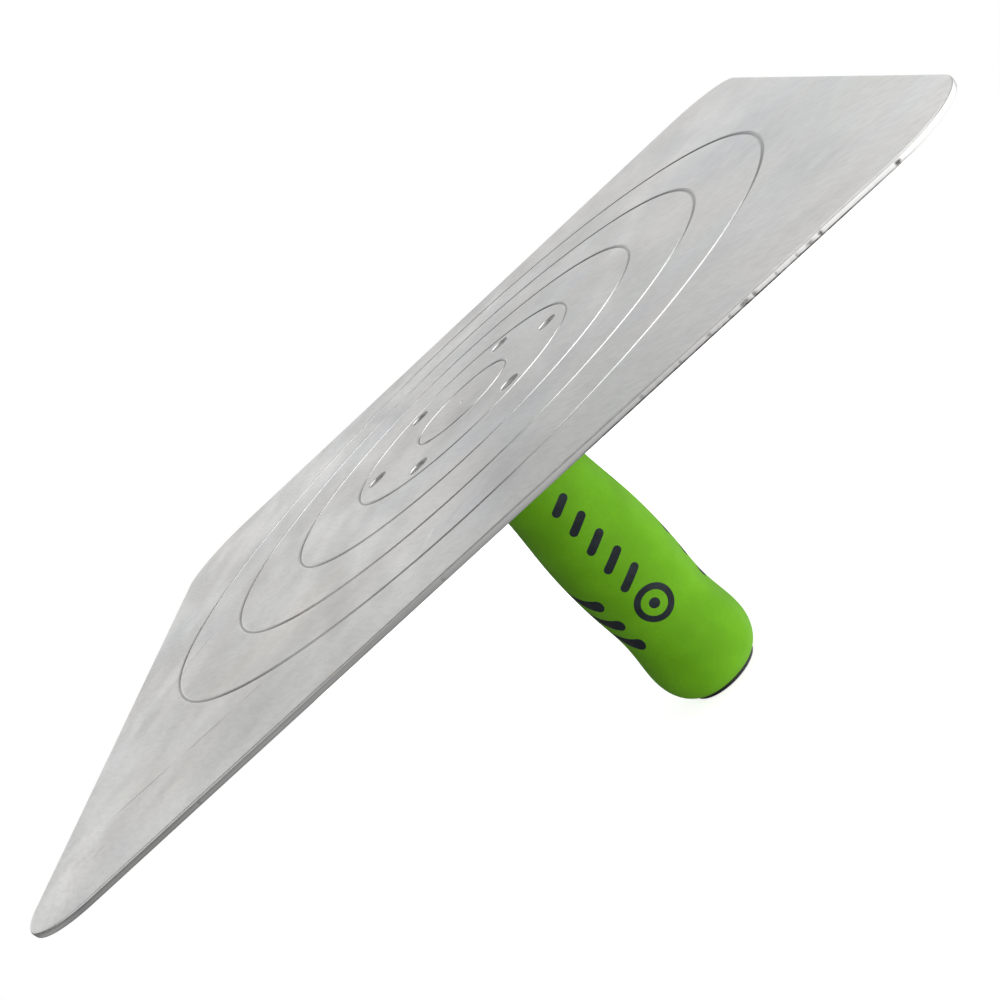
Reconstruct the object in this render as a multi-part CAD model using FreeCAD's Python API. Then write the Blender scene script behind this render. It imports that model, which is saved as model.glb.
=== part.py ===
"""Plasterer's hawk: a square aluminium plate riveted to a cast flange, with a bolted soft-grip handle.

Frame: the origin is the centre of the plate's working face. +Z points up out of that face, and +X and +Y run
along the plate's edges. The handle hangs down along -Z. All sizes are millimetres and all angles degrees.
"""
import FreeCAD, Part
import math
import os

# ---------------------------------------------------------------------------------------------------------------
# Driving dimensions
# ---------------------------------------------------------------------------------------------------------------

# Plate
PLATE_SIDE = 330.0
PLATE_THICKNESS = 2.0
PLATE_CORNER_RADIUS = 31.0
PLATE_EDGE_ROUND = 0.5
RING_COUNT = 5
FIRST_RING_RADIUS = 21.0
RING_PITCH = 28.9
RING_GROOVE_WIDTH = 1.2
RING_GROOVE_DEPTH = 0.35

# Rivets
RIVET_COUNT = 6
RIVET_CIRCLE_RADIUS = 41.0
RIVET_SHANK_DIAMETER = 4.8
COUNTERSINK_DIAMETER = 8.4
COUNTERSINK_DEPTH = 1.5
RIVET_HEAD_SINK = 0.3
RIVET_DISH_RADIUS = 2.6
RIVET_DISH_DEPTH = 0.25
RIVET_TAIL_DIAMETER = 8.6
RIVET_TAIL_HEIGHT = 2.6

# Cast flange
FLANGE_RADIUS = 52.0
FLANGE_THICKNESS = 3.5
FLANGE_RIM_WIDTH = 3.5
FLANGE_RIM_HEIGHT = 1.5
RIVET_PAD_RADIUS = 6.2
RIVET_PAD_HEIGHT = 1.0
HUB_ROOT_RADIUS = 28.0
HUB_END_RADIUS = 22.5
HUB_ROOT_BLEND = 3.0
HUB_END_Z = -20.0
RIB_THICKNESS = 4.0
SPIGOT_ACROSS_FLATS = 22.0
SPIGOT_LENGTH = 8.0
SPIGOT_CLEARANCE = 0.1

# Bolt and nut, M10
BOLT_DIAMETER = 10.0
BOLT_LENGTH = 120.0
BOLT_HOLE_DIAMETER = 10.5
HEX_ACROSS_FLATS = 17.0
BOLT_HEAD_HEIGHT = 6.4
HEAD_POCKET_CLEARANCE = 0.1
FLAT_WASHER_DIAMETER = 20.0
FLAT_WASHER_THICKNESS = 2.0
SPRING_WASHER_DIAMETER = 18.1
SPRING_WASHER_THICKNESS = 2.2
SPRING_WASHER_GAP = 2.0
NUT_HEIGHT = 10.0
NUT_HEX_HEIGHT = 7.6
NUT_COLLAR_DIAMETER = 15.6
INSERT_DIAMETER = 13.0
INSERT_HEIGHT = 2.0
INSERT_TOP_LIP = 0.4

# Handle core
CORE_RADIUS = 15.5
CORE_END_RADIUS = 14.5
CORE_TAPER_TOP_Z = -128.0
CORE_TAPER_END_Z = -134.0
CORE_END_Z = -142.6
CORE_EDGE_ROUND = 0.6
CORE_BORE_DIAMETER = 11.0
SOCKET_DIAMETER = 23.0
SOCKET_FLOOR_Z = -112.0

# End cap
HANDLE_END_Z = -143.0
CAP_DISC_RADIUS = 12.4
CAP_DISC_THICKNESS = 1.8
CAP_SEAT_CLEARANCE = 0.1
CAP_SKIRT_CLEARANCE = 0.1
CAP_SKIRT_WALL = 1.6
CAP_SKIRT_LENGTH = 9.0
CAP_EDGE_ROUND = 0.35
CAP_SLOT_WIDTH = 2.0
CAP_SLOT_COUNT = 4
CAP_BEAD_RISE = 0.35
CAP_BEAD_OFFSET = 6.0

# Grip outline below the collar, as (radius, z): neck, swell, waist, bulb and rounded end
COLLAR_RADIUS = 23.5
COLLAR_ROUND = 1.0
COLLAR_END_Z = -24.0
GRIP_OUTLINE = [
    (21.0, -28.0),
    (18.7, -33.0),
    (18.35, -39.0),
    (19.15, -50.0),
    (20.65, -65.0),
    (21.2, -79.0),
    (20.65, -95.0),
    (19.95, -106.0),
    (20.45, -115.0),
    (21.45, -125.0),
    (20.8, -132.0),
    (18.4, -137.5),
]
GRIP_END_RADIUS = 15.2
GRIP_END_Z = -140.8
GRIP_LIP_Z = -141.0

# Teardrop finger inlays, three on each side of the grip
INLAY_DEPTH = 1.2
INLAY_LEFT_ANGLE = -148.0
INLAY_RIGHT_ANGLE = 14.0
INLAY_FIRST_Z = -81.8
INLAY_PITCH = 10.7
INLAY_COUNT = 3
INLAY_HEAD_RADIUS = 2.8
INLAY_TAIL_RADIUS = 1.2
INLAY_HEAD_OFFSET = (-5.0, -3.4)
INLAY_TAIL_OFFSET = (6.2, 4.6)
INLAY_BOW = 0.8

# Mark on the front of the grip: slanted bars, and a ring round a dot below them
MARK_ANGLE = -85.0
MARK_DEPTH = 0.5
MARK_BAR_COUNT = 5
MARK_FIRST_Z = -47.2
MARK_BAR_PITCH = 9.0
MARK_FIRST_BAR_LENGTH = 9.2
MARK_BAR_GROWTH = 0.6
MARK_BAR_WIDTH = 3.2
MARK_BAR_SLANT = 24.0
MARK_RING_Z = -96.6
MARK_RING_RADIUS = 7.5
MARK_RING_WIDTH = 2.5
MARK_DOT_RADIUS = 2.1

# ---------------------------------------------------------------------------------------------------------------
# Derived places
# ---------------------------------------------------------------------------------------------------------------

AXIS = FreeCAD.Vector(0, 0, 1)
ORIGIN = FreeCAD.Vector(0, 0, 0)
PLATE_BOTTOM_Z = -PLATE_THICKNESS
FLANGE_BOTTOM_Z = PLATE_BOTTOM_Z - FLANGE_THICKNESS
RIVET_PAD_Z = FLANGE_BOTTOM_Z - RIVET_PAD_HEIGHT
BOLT_HEAD_Z = PLATE_BOTTOM_Z - BOLT_HEAD_HEIGHT
BOLT_END_Z = BOLT_HEAD_Z - BOLT_LENGTH
SPIGOT_END_Z = HUB_END_Z - SPIGOT_LENGTH
SPRING_WASHER_TOP_Z = SOCKET_FLOOR_Z - FLAT_WASHER_THICKNESS
NUT_TOP_Z = SPRING_WASHER_TOP_Z - SPRING_WASHER_THICKNESS
NUT_BOTTOM_Z = NUT_TOP_Z - NUT_HEIGHT
CAP_DISC_TOP_Z = HANDLE_END_Z + CAP_DISC_THICKNESS
CAP_BEAD_Z = CAP_DISC_TOP_Z + CAP_BEAD_OFFSET


# ---------------------------------------------------------------------------------------------------------------
# Helpers
# ---------------------------------------------------------------------------------------------------------------

def cylinder(radius, z_low, z_high, x=0.0, y=0.0):
    """Upright cylinder between two heights."""
    return Part.makeCylinder(radius, z_high - z_low, FreeCAD.Vector(x, y, z_low), AXIS)


def cone(radius_low, radius_high, z_low, z_high, x=0.0, y=0.0):
    """Upright truncated cone between two heights."""
    return Part.makeCone(radius_low, radius_high, z_high - z_low, FreeCAD.Vector(x, y, z_low), AXIS)


def tube(radius_in, radius_out, z_low, z_high):
    """Upright tube between two heights."""
    return cylinder(radius_out, z_low, z_high).cut(cylinder(radius_in, z_low, z_high))


def hexagon_prism(across_flats, z_low, z_high):
    """Upright hexagon bar between two heights, two of its flats facing +Y and -Y."""
    corner_radius = across_flats / math.sqrt(3.0)
    corners = []
    for index in range(7):
        angle = math.radians(60.0 * index)
        x = corner_radius * math.cos(angle)
        y = corner_radius * math.sin(angle)
        corners.append(FreeCAD.Vector(x, y, z_low))
    face = Part.Face(Part.makePolygon(corners))
    return face.extrude(FreeCAD.Vector(0, 0, z_high - z_low))


def in_section(radius, z):
    """Point of the half section that is revolved about the handle's axis."""
    return FreeCAD.Vector(radius, 0, z)


def section_line(start, end):
    """Straight edge of the half section, between two (radius, z) points."""
    return Part.LineSegment(in_section(*start), in_section(*end)).toShape()


def section_arc(start, middle, end):
    """Round edge of the half section, through three (radius, z) points."""
    return Part.Arc(in_section(*start), in_section(*middle), in_section(*end)).toShape()


def section_polygon(points):
    """Straight edges through a list of (radius, z) points."""
    return [section_line(start, end) for start, end in zip(points, points[1:])]


def revolved(edges):
    """Solid of revolution of a closed half section about the handle's axis."""
    face = Part.Face(Part.Wire(Part.__sortEdges__(edges)))
    return face.revolve(ORIGIN, AXIS, 360.0)


def turned(shape, angle):
    """Copy of a shape, turned about the handle's axis."""
    copy = shape.copy()
    copy.rotate(ORIGIN, AXIS, angle)
    return copy


def quarter_point(centre, radius, angle):
    """(radius, z) point on a small round of the half section."""
    across = centre[0] + radius * math.cos(math.radians(angle))
    up = centre[1] + radius * math.sin(math.radians(angle))
    return across, up


def rivet_places():
    """(x, y) of each rivet, the first one on +X."""
    places = []
    for index in range(RIVET_COUNT):
        angle = 2.0 * math.pi * index / RIVET_COUNT
        places.append((RIVET_CIRCLE_RADIUS * math.cos(angle), RIVET_CIRCLE_RADIUS * math.sin(angle)))
    return places


# ---------------------------------------------------------------------------------------------------------------
# Plate and rivets
# ---------------------------------------------------------------------------------------------------------------

def ring_groove(radius):
    """Round-bottomed ring cut into the working face."""
    half_width = RING_GROOVE_WIDTH / 2.0
    cutter_radius = (half_width ** 2 + RING_GROOVE_DEPTH ** 2) / (2.0 * RING_GROOVE_DEPTH)
    centre = FreeCAD.Vector(0, 0, cutter_radius - RING_GROOVE_DEPTH)
    return Part.makeTorus(radius, cutter_radius, centre, AXIS)


def make_plate():
    """Square sheet with rounded corners and edges, ring grooves and countersunk holes."""
    half = PLATE_SIDE / 2.0
    plate = Part.makeBox(PLATE_SIDE, PLATE_SIDE, PLATE_THICKNESS, FreeCAD.Vector(-half, -half, PLATE_BOTTOM_Z))
    upright = [edge for edge in plate.Edges if abs(edge.tangentAt(edge.FirstParameter).z) > 0.9]
    plate = plate.makeFillet(PLATE_CORNER_RADIUS, upright)
    rims = [edge for edge in plate.Edges if abs(edge.tangentAt(edge.FirstParameter).z) < 0.1]
    plate = plate.makeFillet(PLATE_EDGE_ROUND, rims)
    for index in range(RING_COUNT):
        plate = plate.cut(ring_groove(FIRST_RING_RADIUS + index * RING_PITCH))
    shank_radius = RIVET_SHANK_DIAMETER / 2.0
    for x, y in rivet_places():
        plate = plate.cut(cylinder(shank_radius, PLATE_BOTTOM_Z, 0.0, x, y))
        plate = plate.cut(cone(shank_radius, COUNTERSINK_DIAMETER / 2.0, -COUNTERSINK_DEPTH, 0.0, x, y))
    return plate


def make_rivet(x, y):
    """Solid rivet: dished head just below the working face, shank, and a button tail below the flange."""
    shank_radius = RIVET_SHANK_DIAMETER / 2.0
    tail_radius = RIVET_TAIL_DIAMETER / 2.0
    rise = (COUNTERSINK_DIAMETER / 2.0 - shank_radius) / COUNTERSINK_DEPTH
    head_radius = COUNTERSINK_DIAMETER / 2.0 - rise * RIVET_HEAD_SINK
    head = cone(shank_radius, head_radius, -COUNTERSINK_DEPTH, -RIVET_HEAD_SINK, x, y)
    dish_z = -RIVET_HEAD_SINK - RIVET_DISH_DEPTH
    dish = cone(RIVET_DISH_RADIUS - 2.0 * RIVET_DISH_DEPTH, RIVET_DISH_RADIUS, dish_z, -RIVET_HEAD_SINK, x, y)
    shank = cylinder(shank_radius, RIVET_PAD_Z, -COUNTERSINK_DEPTH, x, y)
    sphere_radius = (tail_radius ** 2 + RIVET_TAIL_HEIGHT ** 2) / (2.0 * RIVET_TAIL_HEIGHT)
    sphere_z = RIVET_PAD_Z - RIVET_TAIL_HEIGHT + sphere_radius
    ball = Part.makeSphere(sphere_radius, FreeCAD.Vector(x, y, sphere_z))
    tail = ball.common(cylinder(2.0 * sphere_radius, RIVET_PAD_Z - 2.0 * sphere_radius, RIVET_PAD_Z, x, y))
    return head.cut(dish).fuse(shank).fuse(tail).removeSplitter()


def make_plate_rivets():
    """All the rivets, as separate solids."""
    return Part.makeCompound([make_rivet(x, y) for x, y in rivet_places()])


# ---------------------------------------------------------------------------------------------------------------
# Cast flange
# ---------------------------------------------------------------------------------------------------------------

def flange_body():
    """Disc with a thickened rim and a tapered hub, as one casting outline."""
    rim_z = FLANGE_BOTTOM_Z - FLANGE_RIM_HEIGHT
    rim_in = FLANGE_RADIUS - FLANGE_RIM_WIDTH
    blend_out = (HUB_ROOT_RADIUS + HUB_ROOT_BLEND, FLANGE_BOTTOM_Z)
    blend_in = (HUB_ROOT_RADIUS, FLANGE_BOTTOM_Z - HUB_ROOT_BLEND)
    blend_centre = (HUB_ROOT_RADIUS + HUB_ROOT_BLEND, FLANGE_BOTTOM_Z - HUB_ROOT_BLEND)
    blend_middle = quarter_point(blend_centre, HUB_ROOT_BLEND, 135.0)
    hub_side_end = (HUB_END_RADIUS, HUB_END_Z + 1.0)
    hub_face_end = (HUB_END_RADIUS - 1.0, HUB_END_Z)
    edges = section_polygon([
        hub_face_end,
        (0.0, HUB_END_Z),
        (0.0, PLATE_BOTTOM_Z),
        (FLANGE_RADIUS, PLATE_BOTTOM_Z),
        (FLANGE_RADIUS, rim_z + 0.8),
        (FLANGE_RADIUS - 0.8, rim_z),
        (rim_in + 0.8, rim_z),
        (rim_in - 0.7, FLANGE_BOTTOM_Z),
        blend_out,
    ])
    edges.append(section_arc(blend_out, blend_middle, blend_in))
    edges.append(section_line(blend_in, hub_side_end))
    edges.append(section_line(hub_side_end, hub_face_end))
    return revolved(edges)


def flange_rib():
    """Sloping web from the hub to the rim, along +X."""
    half = RIB_THICKNESS / 2.0
    rim_in = FLANGE_RADIUS - FLANGE_RIM_WIDTH
    outline = [
        (HUB_END_RADIUS - 6.0, FLANGE_BOTTOM_Z),
        (HUB_END_RADIUS - 6.0, HUB_END_Z + 2.5),
        (HUB_END_RADIUS + 0.8, HUB_END_Z + 2.5),
        (rim_in + 1.0, FLANGE_BOTTOM_Z - FLANGE_RIM_HEIGHT),
        (rim_in + 1.0, FLANGE_BOTTOM_Z),
        (HUB_END_RADIUS - 6.0, FLANGE_BOTTOM_Z),
    ]
    points = [FreeCAD.Vector(radius, -half, z) for radius, z in outline]
    return Part.Face(Part.makePolygon(points)).extrude(FreeCAD.Vector(0, RIB_THICKNESS, 0))


def make_mounting_flange():
    """Casting that carries the plate: rivet pads, ribs, hub, hexagon spigot and the trapped bolt head's pocket."""
    flange = flange_body()
    for x, y in rivet_places():
        flange = flange.fuse(cylinder(RIVET_PAD_RADIUS, RIVET_PAD_Z, FLANGE_BOTTOM_Z + 0.5, x, y))
    for index in range(RIVET_COUNT):
        flange = flange.fuse(turned(flange_rib(), 360.0 * (index + 0.5) / RIVET_COUNT))
    flange = flange.fuse(hexagon_prism(SPIGOT_ACROSS_FLATS, SPIGOT_END_Z, HUB_END_Z))
    flange = flange.cut(cylinder(BOLT_HOLE_DIAMETER / 2.0, SPIGOT_END_Z, PLATE_BOTTOM_Z))
    pocket_width = HEX_ACROSS_FLATS + 2.0 * HEAD_POCKET_CLEARANCE
    flange = flange.cut(hexagon_prism(pocket_width, BOLT_HEAD_Z, PLATE_BOTTOM_Z))
    for x, y in rivet_places():
        flange = flange.cut(cylinder(RIVET_SHANK_DIAMETER / 2.0, RIVET_PAD_Z, PLATE_BOTTOM_Z, x, y))
    return flange.removeSplitter()


# ---------------------------------------------------------------------------------------------------------------
# Bolt, washers and nut
# ---------------------------------------------------------------------------------------------------------------

def chamfered_hexagon(z_low, z_high, chamfer_low, chamfer_high):
    """Hexagon of the bolt head or nut, with its corners turned off at 30 degrees."""
    prism = hexagon_prism(HEX_ACROSS_FLATS, z_low, z_high)
    flat_radius = 0.95 * HEX_ACROSS_FLATS / 2.0
    drop = (HEX_ACROSS_FLATS / math.sqrt(3.0) + 0.5 - flat_radius) * math.tan(math.radians(30.0))
    corner_radius = HEX_ACROSS_FLATS / math.sqrt(3.0) + 0.5
    points = [(0.0, z_low)]
    if chamfer_low:
        points += [(flat_radius, z_low), (corner_radius, z_low + drop)]
    else:
        points += [(corner_radius, z_low)]
    if chamfer_high:
        points += [(corner_radius, z_high - drop), (flat_radius, z_high)]
    else:
        points += [(corner_radius, z_high)]
    points += [(0.0, z_high), (0.0, z_low)]
    return prism.common(revolved(section_polygon(points)))


def make_handle_bolt():
    """M10 hexagon head bolt, head up."""
    head = chamfered_hexagon(BOLT_HEAD_Z, PLATE_BOTTOM_Z, False, True)
    radius = BOLT_DIAMETER / 2.0
    shank = cylinder(radius, BOLT_END_Z + 1.0, BOLT_HEAD_Z)
    point = cone(radius - 1.0, radius, BOLT_END_Z, BOLT_END_Z + 1.0)
    return head.fuse(shank).fuse(point).removeSplitter()


def make_flat_washer():
    """Plain washer on the floor of the core's socket."""
    return tube(BOLT_HOLE_DIAMETER / 2.0, FLAT_WASHER_DIAMETER / 2.0, SPRING_WASHER_TOP_Z, SOCKET_FLOOR_Z)


def make_spring_washer():
    """Split ring, closed flat by the nut."""
    ring = tube(BOLT_HOLE_DIAMETER / 2.0, SPRING_WASHER_DIAMETER / 2.0, NUT_TOP_Z, SPRING_WASHER_TOP_Z)
    corner = FreeCAD.Vector(0, -SPRING_WASHER_GAP / 2.0, NUT_TOP_Z)
    gap = Part.makeBox(SPRING_WASHER_DIAMETER, SPRING_WASHER_GAP, SPRING_WASHER_THICKNESS, corner)
    return ring.cut(gap)


def insert_ring():
    """Space of the nylon ring in the nut's collar."""
    z_low = NUT_BOTTOM_Z + INSERT_TOP_LIP
    return tube(BOLT_DIAMETER / 2.0, INSERT_DIAMETER / 2.0, z_low, z_low + INSERT_HEIGHT)


def make_lock_nut():
    """M10 lock nut: hexagon with a round collar that holds the nylon ring."""
    nut = chamfered_hexagon(NUT_TOP_Z - NUT_HEX_HEIGHT, NUT_TOP_Z, True, True)
    nut = nut.fuse(cylinder(NUT_COLLAR_DIAMETER / 2.0, NUT_BOTTOM_Z, NUT_TOP_Z - NUT_HEX_HEIGHT))
    nut = nut.cut(cylinder(BOLT_DIAMETER / 2.0, NUT_BOTTOM_Z, NUT_TOP_Z))
    return nut.cut(insert_ring()).removeSplitter()


# ---------------------------------------------------------------------------------------------------------------
# Handle core and end cap
# ---------------------------------------------------------------------------------------------------------------

def bead_section(radius):
    """Low rounded bead around the handle's axis, on a cylinder of the given radius."""
    half = 1.2
    top = (radius, CAP_BEAD_Z + half)
    crest = (radius + CAP_BEAD_RISE, CAP_BEAD_Z)
    bottom = (radius, CAP_BEAD_Z - half)
    return revolved([section_arc(top, crest, bottom), section_line(bottom, top)])


def make_handle_core():
    """Moulded core: hexagon socket at the top, bolt hole, nut socket and a seat for the end cap below."""
    round_start = (CORE_END_RADIUS, CORE_END_Z + CORE_EDGE_ROUND)
    round_end = (CORE_END_RADIUS - CORE_EDGE_ROUND, CORE_END_Z)
    round_centre = (round_end[0], round_start[1])
    edges = section_polygon([
        round_end,
        (0.0, CORE_END_Z),
        (0.0, HUB_END_Z),
        (CORE_RADIUS, HUB_END_Z),
        (CORE_RADIUS, CORE_TAPER_TOP_Z),
        (CORE_END_RADIUS, CORE_TAPER_END_Z),
        round_start,
    ])
    edges.append(section_arc(round_start, quarter_point(round_centre, CORE_EDGE_ROUND, -45.0), round_end))
    core = revolved(edges)
    socket_width = SPIGOT_ACROSS_FLATS + 2.0 * SPIGOT_CLEARANCE
    core = core.cut(hexagon_prism(socket_width, SPIGOT_END_Z, HUB_END_Z))
    core = core.cut(cylinder(CORE_BORE_DIAMETER / 2.0, SOCKET_FLOOR_Z, SPIGOT_END_Z))
    core = core.cut(cylinder(SOCKET_DIAMETER / 2.0, CORE_END_Z, SOCKET_FLOOR_Z))
    core = core.cut(cylinder(CAP_DISC_RADIUS + CAP_SEAT_CLEARANCE, CORE_END_Z, CAP_DISC_TOP_Z))
    return core.cut(bead_section(SOCKET_DIAMETER / 2.0))


def make_end_cap():
    """Push-in plug: flat disc, slotted skirt and a bead that snaps into the core."""
    outer = SOCKET_DIAMETER / 2.0 - CAP_SKIRT_CLEARANCE
    inner = outer - CAP_SKIRT_WALL
    round_start = (CAP_DISC_RADIUS, HANDLE_END_Z + CAP_EDGE_ROUND)
    round_end = (CAP_DISC_RADIUS - CAP_EDGE_ROUND, HANDLE_END_Z)
    round_centre = (round_end[0], round_start[1])
    edges = section_polygon([
        round_end,
        (0.0, HANDLE_END_Z),
        (0.0, CAP_DISC_TOP_Z),
        (CAP_DISC_RADIUS, CAP_DISC_TOP_Z),
        round_start,
    ])
    edges.append(section_arc(round_start, quarter_point(round_centre, CAP_EDGE_ROUND, -45.0), round_end))
    skirt_top = CAP_DISC_TOP_Z + CAP_SKIRT_LENGTH
    skirt = tube(inner, outer, CAP_DISC_TOP_Z, skirt_top).fuse(bead_section(outer))
    skirt = skirt.cut(cylinder(inner, CAP_DISC_TOP_Z, skirt_top))
    for index in range(CAP_SLOT_COUNT // 2):
        corner = FreeCAD.Vector(-SOCKET_DIAMETER, -CAP_SLOT_WIDTH / 2.0, CAP_DISC_TOP_Z + 2.0)
        slot = Part.makeBox(2.0 * SOCKET_DIAMETER, CAP_SLOT_WIDTH, CAP_SKIRT_LENGTH, corner)
        skirt = skirt.cut(turned(slot, 360.0 * index / CAP_SLOT_COUNT))
    return revolved(edges).fuse(skirt).removeSplitter()


# ---------------------------------------------------------------------------------------------------------------
# Grip, finger inlays and mark
# ---------------------------------------------------------------------------------------------------------------

def grip_curve(inset):
    """Smooth outline of the grip from the collar to its lower end, moved inwards by the inset."""
    points = [in_section(COLLAR_RADIUS - inset, COLLAR_END_Z)]
    points += [in_section(radius - inset, z) for radius, z in GRIP_OUTLINE]
    points.append(in_section(GRIP_END_RADIUS - inset, GRIP_END_Z))
    curve = Part.BSplineCurve()
    curve.interpolate(points)
    return curve.toShape()


def skin_layer(depth):
    """Outermost layer of the grip, of the given depth, from which inlays are cut."""
    top = section_line((COLLAR_RADIUS - depth, COLLAR_END_Z), (COLLAR_RADIUS, COLLAR_END_Z))
    bottom = section_line((GRIP_END_RADIUS, GRIP_END_Z), (GRIP_END_RADIUS - depth, GRIP_END_Z))
    return revolved([grip_curve(0.0), grip_curve(depth), top, bottom])


def grip_solid():
    """Grip without its pockets: collar, smooth outline and the bore that the core fills."""
    collar_top = (COLLAR_RADIUS, HUB_END_Z - COLLAR_ROUND)
    face_end = (COLLAR_RADIUS - COLLAR_ROUND, HUB_END_Z)
    round_centre = (face_end[0], collar_top[1])
    edges = [
        section_arc(face_end, quarter_point(round_centre, COLLAR_ROUND, 45.0), collar_top),
        section_line(collar_top, (COLLAR_RADIUS, COLLAR_END_Z)),
        grip_curve(0.0),
    ]
    edges += section_polygon([
        (GRIP_END_RADIUS, GRIP_END_Z),
        (CORE_END_RADIUS, GRIP_LIP_Z),
        (CORE_END_RADIUS, CORE_TAPER_END_Z),
        (CORE_RADIUS, CORE_TAPER_TOP_Z),
        (CORE_RADIUS, HUB_END_Z),
        face_end,
    ])
    return revolved(edges)


def standing_prism(face_at_origin, angle, z):
    """Prism of a flat outline drawn in the YZ plane, pushed outwards through the grip at an angle and height."""
    prism = face_at_origin.copy()
    prism.translate(FreeCAD.Vector(CORE_RADIUS - 1.0, 0, z))
    prism = prism.extrude(FreeCAD.Vector(CORE_RADIUS, 0, 0))
    return turned(prism, angle)


def outline_point(across, up):
    """Point of a flat outline: across runs anticlockwise round the grip, up runs along +Z."""
    return FreeCAD.Vector(0, across, up)


def teardrop_face(tail_side):
    """Curved teardrop: round head, tail rising away from it; tail_side is +1 or -1 round the grip."""
    head_x, head_z = INLAY_HEAD_OFFSET
    tail_x, tail_z = INLAY_TAIL_OFFSET
    length = math.hypot(tail_x - head_x, tail_z - head_z)
    along_x = (tail_x - head_x) / length
    along_z = (tail_z - head_z) / length

    def place(along, aside):
        across = head_x + along * along_x - aside * along_z
        up = head_z + along * along_z + aside * along_x
        return outline_point(tail_side * across, up)

    middle_radius = (INLAY_HEAD_RADIUS + INLAY_TAIL_RADIUS) / 2.0
    head_upper = place(0.0, INLAY_HEAD_RADIUS)
    head_lower = place(0.0, -INLAY_HEAD_RADIUS)
    tail_upper = place(length, INLAY_TAIL_RADIUS)
    tail_lower = place(length, -INLAY_TAIL_RADIUS)
    edges = [
        Part.Arc(head_upper, place(-INLAY_HEAD_RADIUS, 0.0), head_lower).toShape(),
        Part.Arc(head_lower, place(length / 2.0, -middle_radius - INLAY_BOW), tail_lower).toShape(),
        Part.Arc(tail_lower, place(length + INLAY_TAIL_RADIUS, 0.0), tail_upper).toShape(),
        Part.Arc(tail_upper, place(length / 2.0, middle_radius - INLAY_BOW), head_upper).toShape(),
    ]
    return Part.Face(Part.Wire(edges))


def bar_face(length, width, slant):
    """Round-ended bar, turned by the slant from level."""
    half = length / 2.0 - width / 2.0
    rise = width / 2.0
    edges = [
        Part.LineSegment(outline_point(-half, -rise), outline_point(half, -rise)).toShape(),
        Part.Arc(outline_point(half, -rise), outline_point(half + rise, 0), outline_point(half, rise)).toShape(),
        Part.LineSegment(outline_point(half, rise), outline_point(-half, rise)).toShape(),
        Part.Arc(outline_point(-half, rise), outline_point(-half - rise, 0), outline_point(-half, -rise)).toShape(),
    ]
    face = Part.Face(Part.Wire(edges))
    face.rotate(ORIGIN, FreeCAD.Vector(1, 0, 0), slant)
    return face


def disc_face(radius):
    """Flat disc, facing outwards."""
    return Part.Face(Part.Wire(Part.makeCircle(radius, ORIGIN, FreeCAD.Vector(1, 0, 0))))


def ring_face(radius, width):
    """Flat ring, facing outwards."""
    return disc_face(radius).cut(disc_face(radius - width))


def make_finger_inlays():
    """Teardrop inlays by node name, three on each side of the grip."""
    layer = skin_layer(INLAY_DEPTH)
    inlays = {}
    for side, angle, tail_side in (("left", INLAY_LEFT_ANGLE, -1.0), ("right", INLAY_RIGHT_ANGLE, 1.0)):
        for index in range(INLAY_COUNT):
            z = INLAY_FIRST_Z - index * INLAY_PITCH
            prism = standing_prism(teardrop_face(tail_side), angle, z)
            inlays["finger_inlay_%s_%d" % (side, index + 1)] = layer.common(prism)
    return inlays


def make_grip_marking():
    """Slanted bars of growing length, and below them a ring round a dot, all let into the grip."""
    layer = skin_layer(MARK_DEPTH)
    pieces = []
    for index in range(MARK_BAR_COUNT):
        length = MARK_FIRST_BAR_LENGTH + index * MARK_BAR_GROWTH
        face = bar_face(length, MARK_BAR_WIDTH, MARK_BAR_SLANT)
        prism = standing_prism(face, MARK_ANGLE, MARK_FIRST_Z - index * MARK_BAR_PITCH)
        pieces.append(layer.common(prism))
    for face in (ring_face(MARK_RING_RADIUS, MARK_RING_WIDTH), disc_face(MARK_DOT_RADIUS)):
        pieces.append(layer.common(standing_prism(face, MARK_ANGLE, MARK_RING_Z)))
    return Part.makeCompound([solid for piece in pieces for solid in piece.Solids])


def make_grip_sleeve(let_in):
    """Grip with a pocket for each piece that is let into it."""
    grip = grip_solid()
    for piece in let_in:
        for solid in piece.Solids:
            grip = grip.cut(solid)
    return grip


# ---------------------------------------------------------------------------------------------------------------
# Assembly
# ---------------------------------------------------------------------------------------------------------------

def make_nodes():
    """Every sub-part, by node name."""
    inlays = make_finger_inlays()
    marking = make_grip_marking()
    nodes = {
        "plate": make_plate(),
        "plate_rivets": make_plate_rivets(),
        "mounting_flange": make_mounting_flange(),
        "handle_bolt": make_handle_bolt(),
        "handle_core": make_handle_core(),
        "grip_sleeve": make_grip_sleeve(list(inlays.values()) + [marking]),
        "grip_marking": marking,
        "flat_washer": make_flat_washer(),
        "spring_washer": make_spring_washer(),
        "lock_nut": make_lock_nut(),
        "lock_nut_insert": insert_ring(),
        "end_cap": make_end_cap(),
    }
    nodes.update(inlays)
    return nodes


os.makedirs("parts", exist_ok=True)
for name, shape in make_nodes().items():
    shape.exportStep("parts/%s.step" % name)
    box = shape.BoundBox
    print("%-22s solids %d  valid %s  volume %9.1f  z %7.1f to %6.1f" % (
        name, len(shape.Solids), shape.isValid(), shape.Volume, box.ZMin, box.ZMax))
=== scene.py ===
"""Looks of the plasterer's hawk: a scratched mill-finish aluminium plate on a bolted soft-grip handle.

The plate is a mesh of its own, because the sheet's worn edge, soft groove lips and centre mark are shapes.
Every other piece is the CAD node itself with a procedural material. Lengths named _MM are millimetres.
"""
import math

import bmesh
import bpy
from mathutils import Matrix, Vector, noise


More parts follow.
